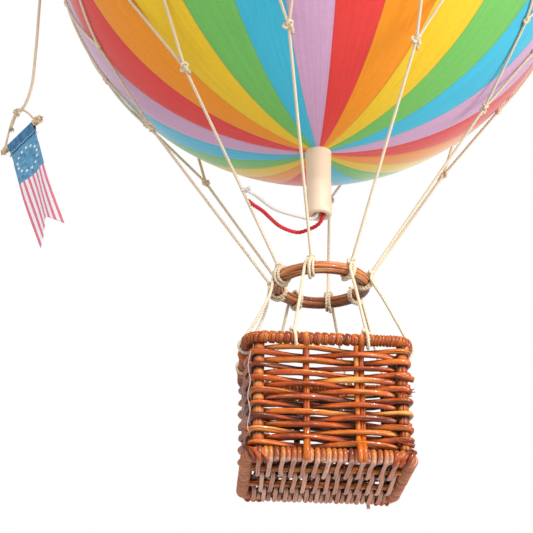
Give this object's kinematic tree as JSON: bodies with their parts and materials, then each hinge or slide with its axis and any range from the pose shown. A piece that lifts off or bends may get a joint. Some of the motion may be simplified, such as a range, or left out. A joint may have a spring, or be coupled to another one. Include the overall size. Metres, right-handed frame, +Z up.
{
  "type": "hanging model hot air balloon",
  "caption": "Hanging decorative hot air balloon: striped cloth-covered ball in a string net, cane load ring, open wicker basket and swallow-tailed pennants.",
  "frame": {"origin": "the hang point, inside the top of the hang eye", "axes": "+Z up through the hang eye, -Y towards the front of the basket, +X to the right"},
  "size_m": [0.3572, 0.3198, 0.5317],
  "materials": {
    "envelope_cloth": "printed rainbow gores, semi-matte",
    "paper_tube": "smooth cream",
    "string": "natural twisted string",
    "brass": "bright",
    "cane_dark": "stained and varnished",
    "cane": "varnished",
    "cane_wrap": "varnished",
    "cane_matte": "stained, matte",
    "stick_wood": "plain",
    "cord_red": "twisted cotton",
    "cord_white": "twisted cotton",
    "flag_cloth": "printed cloth"
  },
  "bodies": {
    "balloon": {"envelope": "envelope_cloth", "crown_cap": "envelope_cloth", "hang_eye": "brass", "neck_tube": "paper_tube", "load_ring": "cane_dark", "stay_1": "string", "stay_2": "string", "stay_3": "string", "stay_4": "string", "stay_5": "string", "stay_6": "string", "stay_7": "string", "stay_8": "string", "basket_line_1": "string", "basket_line_2": "string", "basket_line_3": "string", "basket_line_4": "string", "basket_line_5": "string", "basket_line_6": "string", "basket_line_7": "string", "basket_line_8": "string", "basket_rim": "cane_wrap", "basket_foot": "cane_matte", "basket_post_front_left": "cane", "basket_post_front_right": "cane", "basket_post_back_left": "cane", "basket_post_back_right": "cane", "basket_wall_front": "cane", "basket_wall_right": "cane", "basket_wall_back": "cane", "basket_wall_left": "cane", "basket_floor": "cane_matte", "pennant_tie_left": "string", "pennant_tie_right": "string", "neck_cord_red": "cord_red", "neck_cord_white": "cord_white"},
    "pennant_left": {"pennant_cord_left": "string", "pennant_bridle_left": "string", "pennant_stick_left": "stick_wood", "pennant_flag_left": "flag_cloth"},
    "pennant_right": {"pennant_cord_right": "string", "pennant_bridle_right": "string", "pennant_stick_right": "stick_wood", "pennant_flag_right": "flag_cloth"}
  },
  "joints": [
    {"name": "pennant_left_swing", "type": "hinge", "parent": "balloon", "child": "pennant_left", "pos_m": [-0.15949, -0.02898, -0.1758], "axis": [-0.9839, -0.1788, 0], "range_deg": [-25, 25]},
    {"name": "pennant_right_swing", "type": "hinge", "parent": "balloon", "child": "pennant_right", "pos_m": [0.15949, 0.02898, -0.1758], "axis": [0.9839, 0.1788, 0], "range_deg": [-25, 25]}
  ]
}
